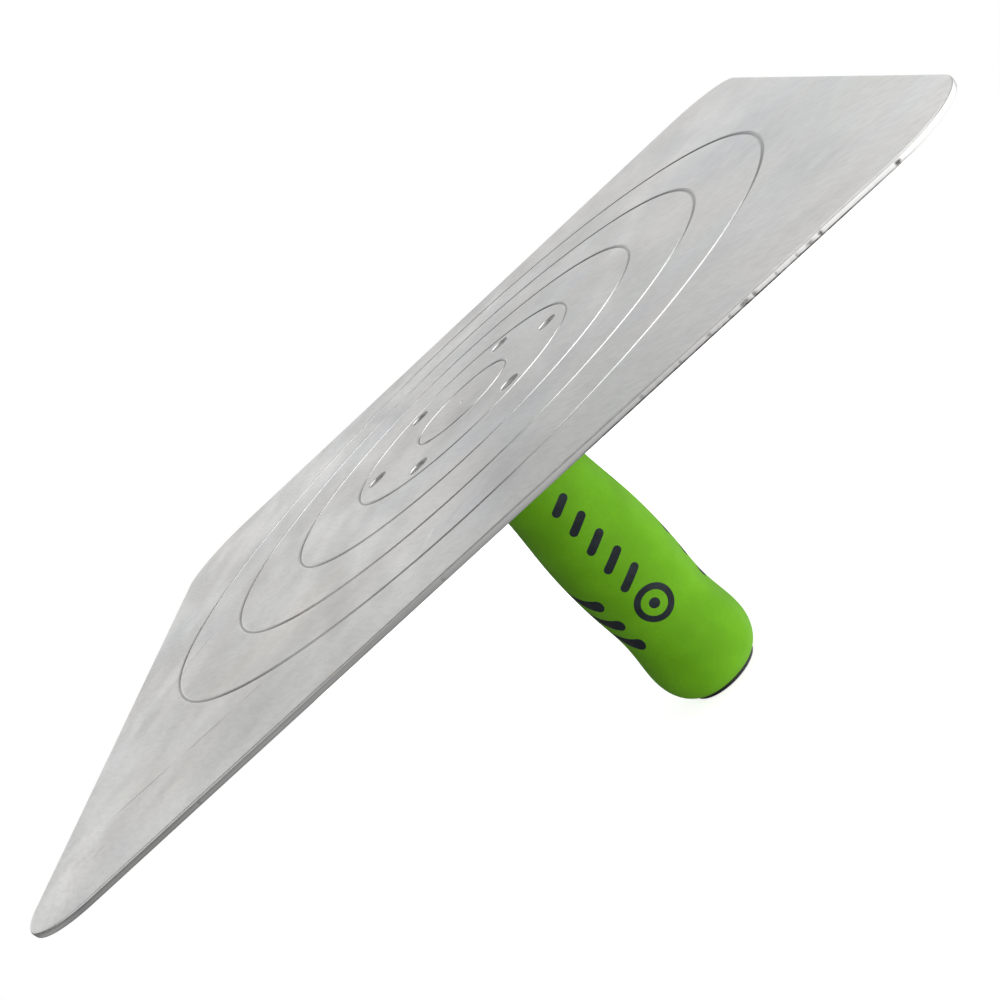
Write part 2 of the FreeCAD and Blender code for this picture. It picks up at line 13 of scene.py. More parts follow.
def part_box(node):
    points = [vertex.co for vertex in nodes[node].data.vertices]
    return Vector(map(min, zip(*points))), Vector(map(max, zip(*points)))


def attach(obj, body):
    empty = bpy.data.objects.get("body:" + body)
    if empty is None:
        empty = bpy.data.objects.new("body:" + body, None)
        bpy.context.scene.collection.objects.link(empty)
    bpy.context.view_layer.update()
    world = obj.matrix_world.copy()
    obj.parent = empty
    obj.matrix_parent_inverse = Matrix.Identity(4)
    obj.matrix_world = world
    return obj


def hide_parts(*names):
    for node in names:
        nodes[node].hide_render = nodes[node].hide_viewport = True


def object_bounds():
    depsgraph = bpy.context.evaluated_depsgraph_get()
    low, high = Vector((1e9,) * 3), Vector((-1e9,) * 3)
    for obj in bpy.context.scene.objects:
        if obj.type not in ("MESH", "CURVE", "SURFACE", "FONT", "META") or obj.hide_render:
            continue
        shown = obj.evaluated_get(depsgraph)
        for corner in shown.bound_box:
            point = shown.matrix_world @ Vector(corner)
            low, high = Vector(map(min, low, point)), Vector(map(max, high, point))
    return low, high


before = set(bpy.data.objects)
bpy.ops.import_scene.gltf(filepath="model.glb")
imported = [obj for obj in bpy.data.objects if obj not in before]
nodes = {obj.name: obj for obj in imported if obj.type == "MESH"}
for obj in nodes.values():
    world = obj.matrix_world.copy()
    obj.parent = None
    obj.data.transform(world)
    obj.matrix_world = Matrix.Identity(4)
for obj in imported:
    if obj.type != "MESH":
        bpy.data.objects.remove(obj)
cad_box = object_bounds()

MM = 0.001

# --------------------------------------------------------------------------------------------------
# Sizes of the plate mesh
# --------------------------------------------------------------------------------------------------

# Outline and rim; below the shear depth the side is a break, set back by the shear step
CORNER_RADIUS_MM = 31.0
EDGE_ROUND_MM = 0.5
LOWER_ROUND_MM = 0.22
SHEAR_DEPTH_MM = 1.1
SHEAR_STEP_MM = 0.12
EDGE_ROUND_STEPS = 5
EDGE_MARGIN_MM = 1.3
SIDE_STEP_MM = 3.0
WORN_SIDE = 3
WORN_SIDE_STEP_MM = 0.4
CORNER_STEPS = 40

# Ring grooves
RING_PITCH_MM = 28.9
RING_RADII_MM = [21.0 + RING_PITCH_MM * index for index in range(5)]
RING_SEGMENTS = 360
GROOVE_WIDTH_MM = 1.9
GROOVE_DEPTH_MM = 0.50
GROOVE_STEPS = 10
GROOVE_MARGIN_MM = 0.4

# Rivet holes and the centre mark, whose profile is in shares of its radius and depth
RIVET_CIRCLE_MM = 41.0
RIVET_COUNT = 6
HOLE_SEGMENTS = 48
COUNTERSINK_MM = (4.2, 1.5)
SHANK_RADIUS_MM = 2.4
HOLE_LIP_MM = 0.12
HOLE_MARGIN_MM = 0.3
CENTRE_MARK_MM = (0.7, 0.35)
CENTRE_PROFILE = [(1.0, 0.0), (0.75, 0.5), (0.35, 0.9)]
CENTRE_SEGMENTS = 24

# Angle between faces, in degrees, above which their edge is sharp
SHARP_ANGLE = 35.0

# Nicks in the front edge: place along X, half length and depth
NICKS_MM = [
    (136.0, 1.3, 0.45),
    (111.5, 0.9, 0.42),
    (108.2, 1.6, 0.20),
    (104.0, 0.6, 0.18),
    (97.5, 0.5, 0.14),
    (90.5, 0.7, 0.45),
    (87.4, 1.8, 0.26),
    (82.6, 0.6, 0.20),
    (76.0, 1.0, 0.16),
    (66.5, 0.5, 0.16),
    (54.0, 0.8, 0.12),
    (-12.0, 0.6, 0.10),
    (-96.0, 0.7, 0.08),
]

# How much of a nick is shape; the rest is painted shade on the rim
NICK_SHARE = 0.45

# Burrs along part of the front edge, and the waves they are made of: frequency, seed and share
BURR_RANGE_MM = (40.0, 140.0)
BURR_FADE_MM = 12.0
BURR_DEPTH_MM = 0.10
BURR_WAVES = [(0.8, 3.7, 1.0), (2.3, 9.1, 0.6)]

# Share of the wear that reaches the upper round and the top of the break, and how far the lower rim is bent
# up where it is worn, for each millimetre of wear
UPPER_WEAR = 0.15
MIDDLE_WEAR = 0.40
WEAR_LIFT = 0.6


def smooth_step(value):
    """0 below 0, 1 above 1, eased between."""
    t = min(max(value, 0.0), 1.0)
    return t * t * (3.0 - 2.0 * t)


# --------------------------------------------------------------------------------------------------
# Plate mesh
# --------------------------------------------------------------------------------------------------

class PlateMesh:
    """Builds the sheet loop by loop, in millimetres."""

    def __init__(self, low, high):
        self.half = (high.x - low.x) / 2.0 / MM
        self.bottom = low.z / MM
        self.bm = bmesh.new()
        self.stations = self.outline_stations()

    def loop(self, points):
        """Closed loop of vertices."""
        return [self.bm.verts.new(point) for point in points]

    def bridge(self, first, second):
        """Quads between two loops of the same length, wound to face up or outwards."""
        count = len(first)
        for index in range(count):
            after = (index + 1) % count
            self.bm.faces.new((first[index], first[after], second[after], second[index]))

    def chain(self, loops):
        """Bridges each loop to the next."""
        for first, second in zip(loops, loops[1:]):
            self.bridge(first, second)

    def fill(self, loops, up):
        """Flat region between an outer loop and the loops inside it."""
        edges = []
        for loop in loops:
            for first, second in zip(loop, loop[1:] + loop[:1]):
                edges.append(self.bm.edges.get((first, second)) or self.bm.edges.new((first, second)))
        normal = (0.0, 0.0, 1.0 if up else -1.0)
        made = bmesh.ops.triangle_fill(self.bm, use_beauty=True, edges=edges, normal=normal)
        faces = [item for item in made["geom"] if isinstance(item, bmesh.types.BMFace)]
        bmesh.ops.recalc_face_normals(self.bm, faces=faces)
        wrong = [face for face in faces if (face.normal.z > 0.0) != up]
        bmesh.ops.reverse_faces(self.bm, faces=wrong)

    def outline_stations(self):
        """(centre, outward direction) of each point of the outline, anticlockwise from the +X side."""
        reach = self.half - CORNER_RADIUS_MM
        stations = []
        for side in range(4):
            angle = math.radians(90.0 * side)
            outward = Vector((math.cos(angle), math.sin(angle)))
            along = Vector((-outward.y, outward.x))
            step = WORN_SIDE_STEP_MM if side == WORN_SIDE else SIDE_STEP_MM
            count = round(2.0 * reach / step)
            for index in range(count):
                place = -reach + 2.0 * reach * index / count
                stations.append((outward * reach + along * place, outward))
            centre = outward * reach + along * reach
            for index in range(CORNER_STEPS):
                turn = angle + math.radians(90.0) * index / CORNER_STEPS
                stations.append((centre, Vector((math.cos(turn), math.sin(turn)))))
        return stations

    def wear(self, x, y, outward):
        """Depth of the nicks and burrs at a point of the outline; only the front edge has them."""
        if outward.y > -0.5 or y > 0.0:
            return 0.0
        depth = 0.0
        for place, half_length, nick_depth in NICKS_MM:
            depth = max(depth, NICK_SHARE * nick_depth * smooth_step(1.0 - abs(x - place) / half_length))
        first, last = BURR_RANGE_MM
        inside = smooth_step((x - first) / BURR_FADE_MM) * smooth_step((last - x) / BURR_FADE_MM)
        rough = 0.0
        for frequency, seed, share in BURR_WAVES:
            rough += share * noise.noise(Vector((x * frequency, seed, 0.0)))
        return depth + BURR_DEPTH_MM * inside * max(0.0, rough)

    def edge_loop(self, inset, z, share):
        """Outline moved in by the inset; share says how much of the wear reaches this loop."""
        points = []
        for centre, outward in self.stations:
            rim = centre + outward * CORNER_RADIUS_MM
            wear = share * self.wear(rim.x, rim.y, outward)
            place = centre + outward * (CORNER_RADIUS_MM - inset - wear)
            lift = WEAR_LIFT * wear if z < self.bottom / 2.0 else 0.0
            points.append((place.x, place.y, z + lift))
        return self.loop(points)

    def round(self, radius):
        """Quarter round from a flat face to the side: (inset, drop, share of the turn) steps."""
        steps = []
        for index in range(EDGE_ROUND_STEPS + 1):
            angle = math.radians(90.0) * index / EDGE_ROUND_STEPS
            share = math.sin(angle)
            steps.append((radius * (1.0 - share), radius * (1.0 - math.cos(angle)), share))
        return steps

    def make_edge(self):
        """Rounded rim; returns its top and bottom loops, where the flat faces begin."""
        profile = [(EDGE_MARGIN_MM, 0.0, 0.0)]
        for inset, drop, share in self.round(EDGE_ROUND_MM):
            profile.append((inset, -drop, UPPER_WEAR * share))
        profile.append((0.0, -SHEAR_DEPTH_MM, MIDDLE_WEAR))
        for inset, drop, share in reversed(self.round(LOWER_ROUND_MM)):
            profile.append((SHEAR_STEP_MM + inset, self.bottom + drop, share))
        profile.append((EDGE_MARGIN_MM, self.bottom, 0.0))
        loops = [self.edge_loop(*step) for step in profile]
        self.chain(list(reversed(loops)))
        return loops[0], loops[-1]

    def circle(self, radius, z, count, x=0.0, y=0.0):
        """Closed round loop."""
        points = []
        for index in range(count):
            angle = math.tau * index / count
            points.append((x + radius * math.cos(angle), y + radius * math.sin(angle), z))
        return self.loop(points)

    def make_groove(self, radius):
        """Turned groove with soft lips; returns its outer and inner loops."""
        half = GROOVE_WIDTH_MM / 2.0
        profile = [(-half - GROOVE_MARGIN_MM, 0.0)]
        for index in range(GROOVE_STEPS + 1):
            t = -1.0 + 2.0 * index / GROOVE_STEPS
            profile.append((half * t, -GROOVE_DEPTH_MM * math.cos(math.pi * t / 2.0) ** 2))
        profile.append((half + GROOVE_MARGIN_MM, 0.0))
        loops = [self.circle(radius + offset, z, RING_SEGMENTS) for offset, z in profile]
        self.chain(list(reversed(loops)))
        return loops[-1], loops[0]

    def make_hole(self, x, y):
        """Countersunk rivet hole; returns its top and bottom loops."""
        head_radius, depth = COUNTERSINK_MM
        profile = [
            (head_radius + HOLE_MARGIN_MM, 0.0),
            (head_radius + HOLE_LIP_MM, 0.0),
            (head_radius, -HOLE_LIP_MM / 2.0),
            (SHANK_RADIUS_MM, -depth),
            (SHANK_RADIUS_MM, self.bottom),
        ]
        loops = [self.circle(radius, z, HOLE_SEGMENTS, x, y) for radius, z in profile]
        self.chain(loops)
        return loops[0], loops[-1]

    def make_centre_mark(self):
        """Small round dimple left by turning; returns its outer loop."""
        radius, depth = CENTRE_MARK_MM
        profile = [(radius + HOLE_MARGIN_MM, 0.0)]
        profile += [(across * radius, -down * depth) for across, down in CENTRE_PROFILE]
        loops = [self.circle(r, z, CENTRE_SEGMENTS) for r, z in profile]
        self.chain(loops)
        self.bm.faces.new(loops[-1])
        return loops[0]

    def build(self, name):
        """Whole sheet as a new mesh, in metres."""
        edge_top, edge_bottom = self.make_edge()
        grooves = [self.make_groove(radius) for radius in RING_RADII_MM]
        holes = []
        for index in range(RIVET_COUNT):
            angle = math.tau * index / RIVET_COUNT
            x, y = RIVET_CIRCLE_MM * math.cos(angle), RIVET_CIRCLE_MM * math.sin(angle)
            holes.append(self.make_hole(x, y))
        mark = self.make_centre_mark()
        self.fill([edge_top, grooves[-1][0]], True)
        for inner, outer in zip(grooves[1:], grooves[2:]):
            self.bridge(inner[0], outer[1])
        self.fill([grooves[1][1], grooves[0][0]] + [hole[0] for hole in holes], True)
        self.fill([grooves[0][1], mark], True)
        self.fill([edge_bottom] + [hole[1] for hole in holes], False)
        mesh = bpy.data.meshes.new(name)
        bmesh.ops.recalc_face_normals(self.bm, faces=self.bm.faces)
        self.bm.to_mesh(mesh)
        self.bm.free()
        mesh.transform(Matrix.Scale(MM, 4))
        mesh.shade_smooth()
        mesh.set_sharp_from_angle(angle=math.radians(SHARP_ANGLE))
        return mesh


# --------------------------------------------------------------------------------------------------
# Node graphs
# --------------------------------------------------------------------------------------------------

# Size that leaves a direction out of a pattern
ENDLESS_MM = 1.0e6

# How far apart two seeds put a noise pattern, along X, Y and Z
SEED_SHIFT_MM = (37.0, 53.0, 71.0)


class Graph:
    """A node tree with short calls. Every pattern is placed in millimetres of the object's own space."""

    def __init__(self, tree):
        self.tree = tree

    def node(self, kind, inputs=None, **settings):
        """New node with its settings and inputs; an input is a number, a tuple or another node's socket."""
        made = self.tree.nodes.new(kind)
        for key, value in settings.items():
            setattr(made, key, value)
        for key, value in (inputs or {}).items():
            self.feed(made.inputs[key], value)
        return made

    def feed(self, socket, value):
        """Links a socket, or sets its value."""
        if isinstance(value, bpy.types.NodeSocket):
            self.tree.links.new(value, socket)
        else:
            socket.default_value = value

    def math(self, operation, first, second=0.0):
        """Arithmetic on one or two numbers."""
        return self.node("ShaderNodeMath", {0: first, 1: second}, operation=operation).outputs[0]

    def product(self, first, *others):
        """Numbers multiplied together."""
        for other in others:
            first = self.math("MULTIPLY", first, other)
        return first

    def largest(self, values):
        """Largest of some numbers."""
        first, *others = values
        for other in others:
            first = self.math("MAXIMUM", first, other)
        return first

    def without(self, value, mask, share):
        """A number less a share of itself where the mask is 1."""
        return self.product(value, self.math("SUBTRACT", 1.0, self.product(mask, share)))

    def between(self, share, first, second):
        """Number that goes from the first to the second by a share."""
        return self.math("ADD", first, self.product(share, self.math("SUBTRACT", second, first)))

    def axes(self, vector):
        """X, Y and Z of a vector."""
        parts = self.node("ShaderNodeSeparateXYZ", {0: vector})
        return parts.outputs[0], parts.outputs[1], parts.outputs[2]

    def band(self, value, low, high, out_low=0.0, out_high=1.0):
        """Eased step of a number from low to high."""
        inputs = {"Value": value, "From Min": low, "From Max": high, "To Min": out_low, "To Max": out_high}
        made = self.node("ShaderNodeMapRange", inputs, interpolation_type="SMOOTHSTEP")
        return made.outputs["Result"]

    def ramp(self, value, stops):
        """Number that eases through (place, level) stops."""
        first, last = stops[0][0], stops[-1][0]
        along = self.math("DIVIDE", self.math("SUBTRACT", value, first), last - first)
        made = self.node("ShaderNodeValToRGB", {0: along})
        made.color_ramp.interpolation = "EASE"
        points = made.color_ramp.elements
        for index, (place, level) in enumerate(stops):
            share = (place - first) / (last - first)
            point = points[index] if index < 2 else points.new(share)
            point.position = share
            point.color = (level, level, level, 1.0)
        return made.outputs["Color"]

    def blend(self, share, first, second, mode="MIX"):
        """Two colours mixed by a share."""
        made = self.node("ShaderNodeMix", {"Factor": share}, data_type="RGBA", blend_type=mode)
        self.feed(made.inputs[6], first)
        self.feed(made.inputs[7], second)
        return made.outputs[2]

    def vector(self, operation, first, second):
        """Arithmetic on two vectors."""
        return self.node("ShaderNodeVectorMath", {0: first, 1: second}, operation=operation).outputs[0]

    def place(self, shift=(0.0, 0.0, 0.0), turn=0.0, size=(1.0, 1.0, 1.0)):
        """Object coordinates in millimetres, shifted, turned about Z and divided by the size."""
        coordinates = self.node("ShaderNodeTexCoord").outputs["Object"]
        scaled = self.vector("MULTIPLY", coordinates, (1.0 / MM, 1.0 / MM, 1.0 / MM))
        moved = self.vector("SUBTRACT", scaled, shift)
        inputs = {"Vector": moved, "Angle": math.radians(-turn)}
        turned = self.node("ShaderNodeVectorRotate", inputs, rotation_type="Z_AXIS").outputs[0]
        return self.vector("DIVIDE", turned, size)

    def cloud(self, size, seed, detail=2.0, roughness=0.5, turn=0.0):
        """Noise from 0 to 1, whose features are about as large as the size, a number or (x, y, z)."""
        sizes = size if isinstance(size, tuple) else (size, size, size)
        vector = self.place(tuple(seed * shift for shift in SEED_SHIFT_MM), turn, sizes)
        inputs = {"Vector": vector, "Scale": 1.0, "Detail": detail, "Roughness": roughness}
        return self.node("ShaderNodeTexNoise", inputs).outputs["Fac"]

    def spot(self, x, y, size_x, size_y, turn=0.0, hard=0.0):
        """Soft oval on the XY plane: 1 in its middle and 0 at its edge."""
        vector = self.place((x, y, 0.0), turn, (size_x, size_y, ENDLESS_MM))
        length = self.node("ShaderNodeVectorMath", {0: vector}, operation="LENGTH").outputs["Value"]
        return self.band(length, 1.0, hard)

    def scratches(self, length, width, turn, seed, low, high):
        """Thin marks of about a length and width, all in one direction; 1 inside a mark."""
        lines = self.cloud((length, width, width), seed, detail=1.0, roughness=0.4, turn=turn)
        return self.band(lines, low, high)


class Finish(Graph):
    """A material built on one Principled shader."""

    def __init__(self, name, metallic, constants=None):
        self.material = bpy.data.materials.new(name)
        self.material.use_nodes = True
        super().__init__(self.material.node_tree)
        self.shader = self.tree.nodes["Principled BSDF"]
        self.shader.inputs["Metallic"].default_value = metallic
        for key, value in (constants or {}).items():
            self.shader.inputs[key].default_value = value

    def color(self, value):
        """Sets the base colour."""
        self.feed(self.shader.inputs["Base Color"], value)

    def rough(self, value):
        """Sets the roughness."""
        self.feed(self.shader.inputs["Roughness"], value)

    def bump(self, *layers):
        """Stacks (height, depth in millimetres) layers."""
        normal = None
        for height, depth in layers:
            inputs = {"Height": height, "Distance": depth * MM, "Strength": 1.0}
            if normal is not None:
                inputs["Normal"] = normal
            normal = self.node("ShaderNodeBump", inputs).outputs["Normal"]
        self.feed(self.shader.inputs["Normal"], normal)


# --------------------------------------------------------------------------------------------------
# Materials
# --------------------------------------------------------------------------------------------------

# Long scratches on the working face: x, y, length, width and turn
LONG_SCRATCHES_MM = [
    (-128.0, -115.0, 36.0, 0.9, -3.0),
    (-102.0, -116.5, 26.0, 0.7, -2.0),
    (-84.0, -117.0, 12.0, 0.6, 0.0),
    (-128.0, -8.0, 26.0, 0.6, 48.0),
    (-134.0, -20.0, 18.0, 0.5, 35.0),
]

# Real smears mixed with painted sheen and painted shade
# Soft patches on the working face: x, y, half length, half width, turn, and how much lighter or darker
SMEARS_AND_SHEEN_MM = [
    (0.0, 124.0, 90.0, 42.0, 0.0, 0.75),
    (-62.0, 104.0, 60.0, 48.0, 20.0, 0.45),
    (-148.0, -140.0, 16.0, 22.0, -20.0, 0.35),
    (130.0, -10.0, 26.0, 66.0, -8.0, -0.32),
    (132.0, -100.0, 14.0, 46.0, 0.0, -0.30),
    (14.0, -126.0, 26.0, 48.0, 0.0, -0.34),
    (-92.0, -104.0, 52.0, 36.0, 0.0, -0.26),
    (-25.0, -138.0, 8.0, 34.0, 4.0, 0.38),
    (-152.0, -121.0, 15.0, 20.0, -10.0, 0.55),
    (-151.0, -128.0, 3.0, 5.0, 10.0, -0.30),
    (-140.0, -134.0, 4.0, 3.0, 30.0, -0.25),
    (-160.0, -104.0, 3.0, 4.0, 0.0, -0.30),
    (-114.0, -132.0, 9.0, 7.0, 20.0, -0.20),
    (-65.0, -132.0, 8.0, 8.0, 0.0, -0.22),
    (-82.0, -150.0, 14.0, 7.0, 8.0, -0.14),
    (-32.0, -136.0, 6.0, 24.0, 12.0, -0.35),
    (-16.0, -125.0, 1.6, 11.0, -22.0, 0.60),
    (-6.0, -124.0, 9.0, 1.6, 42.0, -0.35),
    (-62.0, -84.0, 10.0, 14.0, 30.0, 0.25),
    (-118.0, -60.0, 12.0, 22.0, 20.0, -0.20),
    (-146.0, -20.0, 10.0, 26.0, -8.0, 0.22),
    (-100.0, 20.0, 14.0, 30.0, 10.0, -0.16),
    (112.0, 134.0, 18.0, 22.0, -30.0, 0.25),
    (78.0, 15.0, 17.0, 7.0, 48.0, 0.45),
    (-40.0, 108.0, 11.0, 54.0, 14.0, -0.42),
    (2.0, -22.0, 17.0, 26.0, 0.0, -0.42),
    (-84.0, 20.0, 10.0, 50.0, 4.0, -0.24),
    (-48.0, -116.0, 13.0, 26.0, 6.0, -0.34),
    (-122.0, 62.0, 20.0, 40.0, 0.0, -0.26),
    (-138.0, -92.0, 20.0, 15.0, 10.0, -0.34),
    (96.0, 80.0, 6.0, 1.8, -55.0, 0.35),
    (128.0, 7.0, 6.0, 1.6, 35.0, 0.45),
    (60.0, -38.0, 18.0, 36.0, -12.0, 0.40),
    (100.0, 76.0, 42.0, 38.0, 0.0, 0.38),
    (116.0, -150.0, 26.0, 12.0, 0.0, -0.28),
    (138.0, -60.0, 16.0, 30.0, 6.0, -0.22),
    (34.0, -118.0, 20.0, 9.0, 18.0, 0.20),
    (96.0, -128.0, 24.0, 9.0, -6.0, 0.16),
]

# Faint tints of the cloudy patches, with their seeds
CLOUD_TINTS = [
    (11.0, (0.625, 0.640, 0.672, 1.0)),
    (12.0, (0.650, 0.672, 0.640, 1.0)),
    (13.0, (0.690, 0.665, 0.640, 1.0)),
    (14.0, (0.700, 0.685, 0.645, 1.0)),
]

# Directions of the fine scratches, with their seeds
SCRATCH_SETS = [(8.0, 21.0), (52.0, 22.0), (97.0, 23.0), (139.0, 24.0)]

# Tones of the bare sheet, of what lies on it, and of the painted sheen and shade laid over it
MILL_DARK = (0.60, 0.605, 0.60, 1.0)
MILL_LIGHT = (0.72, 0.72, 0.71, 1.0)
MILL_PALE = (0.78, 0.78, 0.77, 1.0)
# Tones of the soft patches: real smears with painted sheen and painted shade
LIGHT_SMEAR_AND_SHEEN = (0.86, 0.86, 0.85, 1.0)
DARK_SMEAR_AND_SHADE = (0.37, 0.37, 0.38, 1.0)
WARM_TINT = (1.0, 0.984, 0.950, 1.0)
COOL_TINT = (0.960, 0.975, 1.0, 1.0)
SPECKLE = (0.42, 0.42, 0.42, 1.0)
FINE_SCRATCH = (0.93, 0.93, 0.93, 1.0)
DEEP_SCRATCH = (0.26, 0.25, 0.25, 1.0)
GRAIN = (0.45, 0.45, 0.46, 1.0)
# Painted shade in the ring grooves
GROOVE_SHADE = (0.14, 0.14, 0.14, 1.0)
BARE_RIM = (0.86, 0.86, 0.85, 1.0)
HANDLED_RIM = (0.50, 0.49, 0.49, 1.0)
# Painted shade on the left of the rim
LEFT_RIM_SHADE = (0.30, 0.30, 0.30, 1.0)
# Dark crust, also used for the painted shade in the nicks
CRUST_AND_NICK_SHADE = (0.075, 0.066, 0.066, 1.0)

# Shares in which the tones above are laid over the sheet
FINE_SHARE = 0.34
DEEP_SHARE = 0.65
GRAIN_SHARE = 0.10
# Share of the painted shade in the grooves
GROOVE_SHADE_SHARE = 0.70
RIM_SHARE = 0.85
HANDLED_SHARE = 0.8
# Share of the painted shade on the left of the rim
LEFT_RIM_SHADE_SHARE = 0.46
# Share of the dark crust and of the painted shade in the nicks
CRUST_AND_NICK_SHADE_SHARE = 0.92

# Patches of the plate: middle x and y, half length, half width, and turn where there is one
FRONT_EDGE_MM = -165.0
WARM_PATCH_MM = (-80.0, -100.0, 120.0, 100.0)
COOL_PATCH_MM = (140.0, -20.0, 60.0, 140.0)
# Patch over a smear where the painted groove shade is left out
SHADE_GAP_PATCH_MM = (-36.0, 104.0, 13.0, 50.0, 18.0)
HANDLED_PATCH_MM = (15.0, FRONT_EDGE_MM, 110.0, 30.0)
CRUST_PATCH_MM = (84.0, FRONT_EDGE_MM, 66.0, 40.0)

# Painted shade in the grooves: its half width at the lower left and the upper right, and the X + Y between
# which it widens; the half width where it is full; the depth where it stops; and where it is left out, by
# how much
GROOVE_SHADE_REACH_MM = (0.62, 1.25)
GROOVE_SHADE_WIDENS_MM = (0.0, 130.0)
GROOVE_SHADE_CORE_MM = 0.35
GROOVE_SHADE_DEPTH_MM = (-1.3, -1.0)
SHADE_GAP_BACK_MM = (25.0, 70.0)
SHADE_GAP_LEFT_MM = (-20.0, -45.0)
SHADE_GAP_SHARE = 0.85

# Rim: the radii and the upward parts of the normal between which it begins, and where its tones come in
RIM_START_MM = (142.0, 146.0)
RIM_NORMAL = (0.75, 0.35)
# Band of painted shade on the rim's side towards the left: its top, its foot and its side
LEFT_RIM_SHADE_TOP_MM = (-0.25, -0.45)
LEFT_RIM_SHADE_FOOT_MM = (-1.10, -0.80)
LEFT_RIM_SHADE_SIDE_MM = (30.0, -70.0)
CRUST_TOP_MM = (-1.35, -1.65)
CRUST_FACING = (-0.99, -0.93)
CRUST_LEAST = 0.12
# Painted shade in the nicks: the heights between which it comes in, its reach across the edge, and its
# darkness per millimetre of nick depth
NICK_SHADE_TOP_MM = (-0.25, -0.9)
NICK_SHADE_REACH_MM = 4.0
NICK_SHADE_DARKNESS = 3.0

# Roughness of the sheet, from its smoothest to its roughest smears, and what a scratch adds
ROUGHNESS = (0.31, 0.37)
SCRATCH_ROUGHNESS = 0.05

# The middle of a noise's range, where most of its values lie
NOISE_MIDDLE = (0.3, 0.7)


def mill_tone(g):
    """Bare sheet: broad clouds along the rolling direction, small pale ones, and faint tints."""
    broad = g.cloud((62.0, 130.0, 100.0), 1.0, 3.0, 0.55)
    small = g.cloud((14.0, 30.0, 20.0), 2.0, 2.0, 0.5, 12.0)
    tone = g.blend(g.band(broad, *NOISE_MIDDLE), MILL_DARK, MILL_LIGHT)
    tone = g.blend(g.band(small, 0.35, 0.75, 0.0, 0.35), tone, MILL_PALE)
    for seed, tint in CLOUD_TINTS:
        share = g.band(g.cloud(52.0, seed, 2.0), 0.46, 0.68, 0.0, 0.7)
        tone = g.blend(share, tone, tint)
    return tone


def smear_and_sheen_tone(g, tone):
    """Lays the soft patches of real smear with painted sheen and shade, a warm and a cool patch, and a fine
    speckle over the sheet.
    """
    waver = g.band(g.cloud(9.0, 15.0, 2.0), 0.25, 0.6, 0.25, 1.0)
    # Real smears with painted sheen and shade, one soft patch at a time
    for x, y, length, width, turn, strength in SMEARS_AND_SHEEN_MM:
        share = g.product(g.spot(x, y, length, width, turn, 0.2), waver, abs(strength))
        tone = g.blend(share, tone, LIGHT_SMEAR_AND_SHEEN if strength > 0.0 else DARK_SMEAR_AND_SHADE)
    tone = g.blend(g.spot(*WARM_PATCH_MM), tone, WARM_TINT, "MULTIPLY")
    tone = g.blend(g.spot(*COOL_PATCH_MM), tone, COOL_TINT, "MULTIPLY")
    speckle = g.band(g.cloud((1.4, 5.5, 3.0), 16.0, 3.0, 0.6, 32.0), 0.35, 0.72, 0.0, 0.30)
    return g.blend(speckle, tone, SPECKLE)


def fine_scratches(g):
    """Where the face has fine scratches, in patches."""
    patches = g.band(g.cloud(30.0, 6.0, 2.0), 0.48, 0.66)
    sets = [g.scratches(34.0, 0.5, turn, seed, 0.69, 0.80) for turn, seed in SCRATCH_SETS]
    return g.product(g.largest(sets), patches)


def deep_scratches(g):
    """Where the face has its few long scratches."""
    lines = []
    for x, y, length, width, turn in LONG_SCRATCHES_MM:
        lines.append(g.spot(x, y, length / 2.0, width, turn, 0.3))
    return g.largest(lines)


def groove_shade(g, x, y, z, radius):
    """Painted shade in the ring grooves: wider towards +X +Y, and mostly left out at the upper left and
    over a smear.
    """
    ring = g.math("PINGPONG", g.math("SUBTRACT", radius, RING_RADII_MM[0]), RING_PITCH_MM / 2.0)
    reach = g.band(g.math("ADD", x, y), *GROOVE_SHADE_WIDENS_MM, *GROOVE_SHADE_REACH_MM)
    outermost = RING_RADII_MM[-1]
    painted_shade = g.product(g.band(ring, reach, GROOVE_SHADE_CORE_MM), g.band(radius, outermost + 3.0, outermost + 2.0))
    painted_shade = g.product(painted_shade, g.band(z, *GROOVE_SHADE_DEPTH_MM))
    shade_gap = g.product(g.band(y, *SHADE_GAP_BACK_MM), g.band(x, *SHADE_GAP_LEFT_MM))
    shade_gap = g.largest([shade_gap, g.spot(*SHADE_GAP_PATCH_MM, hard=0.3)])
    return g.without(painted_shade, shade_gap, SHADE_GAP_SHARE)


